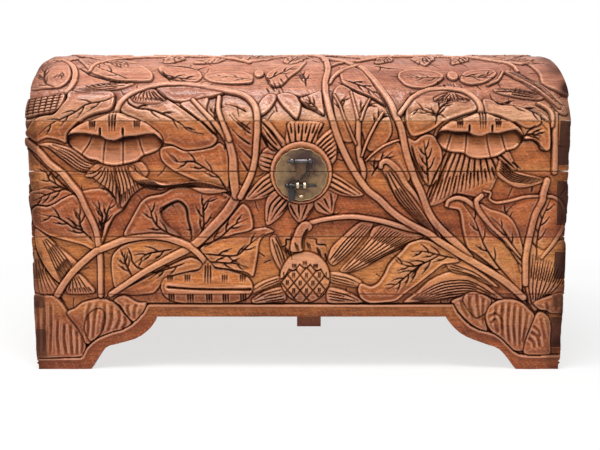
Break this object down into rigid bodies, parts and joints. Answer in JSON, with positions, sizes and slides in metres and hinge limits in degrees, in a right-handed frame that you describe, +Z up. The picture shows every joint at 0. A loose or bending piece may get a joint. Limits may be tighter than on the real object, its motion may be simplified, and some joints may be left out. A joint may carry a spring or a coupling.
{
  "type": "carved wooden chest",
  "caption": "Carved hardwood chest with a hinged barrel-top lid, a plinth of bracket feet and a round brass hasp lock held by a sliding pin.",
  "frame": {"origin": "the middle of the whole object's footprint, on the floor under the feet", "axes": "+X to the right along the front, +Y from the front face to the back, +Z up"},
  "size_m": [1, 0.5142, 0.607],
  "materials": {
    "carved_wood": "carved red-brown hardwood, dark stain in the cuts, satin varnish",
    "plain_wood": "planed and unvarnished",
    "brass": "aged olive-brown brass, worn on its edges",
    "bright_brass": "rubbed bright",
    "dark_metal": "black patina with rubbed highlights"
  },
  "bodies": {
    "chest": {"plinth_front": "carved_wood", "plinth_back": "carved_wood", "plinth_left": "carved_wood", "plinth_right": "carved_wood", "bottom_board_1": "plain_wood", "bottom_board_2": "plain_wood", "bottom_board_3": "plain_wood", "ledger_left": "plain_wood", "ledger_right": "plain_wood", "centre_batten": "plain_wood", "front_board_lower": "carved_wood", "front_board_upper": "carved_wood", "back_board_lower": "carved_wood", "back_board_upper": "carved_wood", "end_board_lower_left": "carved_wood", "end_board_lower_right": "carved_wood", "end_board_upper_left": "carved_wood", "end_board_upper_right": "carved_wood", "hinge_leaf_chest_left": "brass", "hinge_leaf_chest_right": "brass", "hinge_pin_left": "brass", "hinge_pin_right": "brass", "screw_chest_left_1": "brass", "screw_chest_left_2": "brass", "screw_chest_left_3": "brass", "screw_chest_right_1": "brass", "screw_chest_right_2": "brass", "screw_chest_right_3": "brass", "lock_plate_lower": "brass", "staple_left": "bright_brass", "staple_right": "bright_brass"},
    "lid": {"lid_rail_front": "carved_wood", "lid_rail_back": "carved_wood", "lid_end_left": "carved_wood", "lid_end_right": "carved_wood", "lid_stave_1": "carved_wood", "lid_stave_2": "carved_wood", "lid_stave_3": "carved_wood", "lid_stave_4": "carved_wood", "lid_stave_5": "carved_wood", "lid_stave_6": "carved_wood", "hinge_leaf_lid_left": "brass", "hinge_leaf_lid_right": "brass", "screw_lid_left_1": "brass", "screw_lid_left_2": "brass", "screw_lid_left_3": "brass", "screw_lid_right_1": "brass", "screw_lid_right_2": "brass", "screw_lid_right_3": "brass", "lock_plate_upper": "brass", "hasp_eye_left": "dark_metal", "hasp_eye_right": "dark_metal", "hasp_pivot": "dark_metal"},
    "hasp": {"hasp": "dark_metal", "tether_chain": "dark_metal"},
    "pin": {"lock_pin": "dark_metal"},
    "drop": {"pin_drop": "dark_metal"}
  },
  "joints": [
    {"name": "lid_hinge", "type": "hinge", "parent": "chest", "child": "lid", "pos_m": [0, 0.24915, 0.378], "axis": [-1, 0, 0], "range_deg": [0, 105]},
    {"name": "hasp_hinge", "type": "hinge", "parent": "lid", "child": "hasp", "pos_m": [0.005, -0.25165, 0.397], "axis": [-1, 0, 0], "range_deg": [0, 150]},
    {"name": "pin_slide", "type": "slide", "parent": "chest", "child": "pin", "axis": [-1, 0, 0], "range_m": [0, 0.04]},
    {"name": "drop_swing", "type": "hinge", "parent": "pin", "child": "drop", "pos_m": [-0.014, -0.25225, 0.3525], "axis": [-1, 0, 0], "range_deg": [0, 90]}
  ]
}
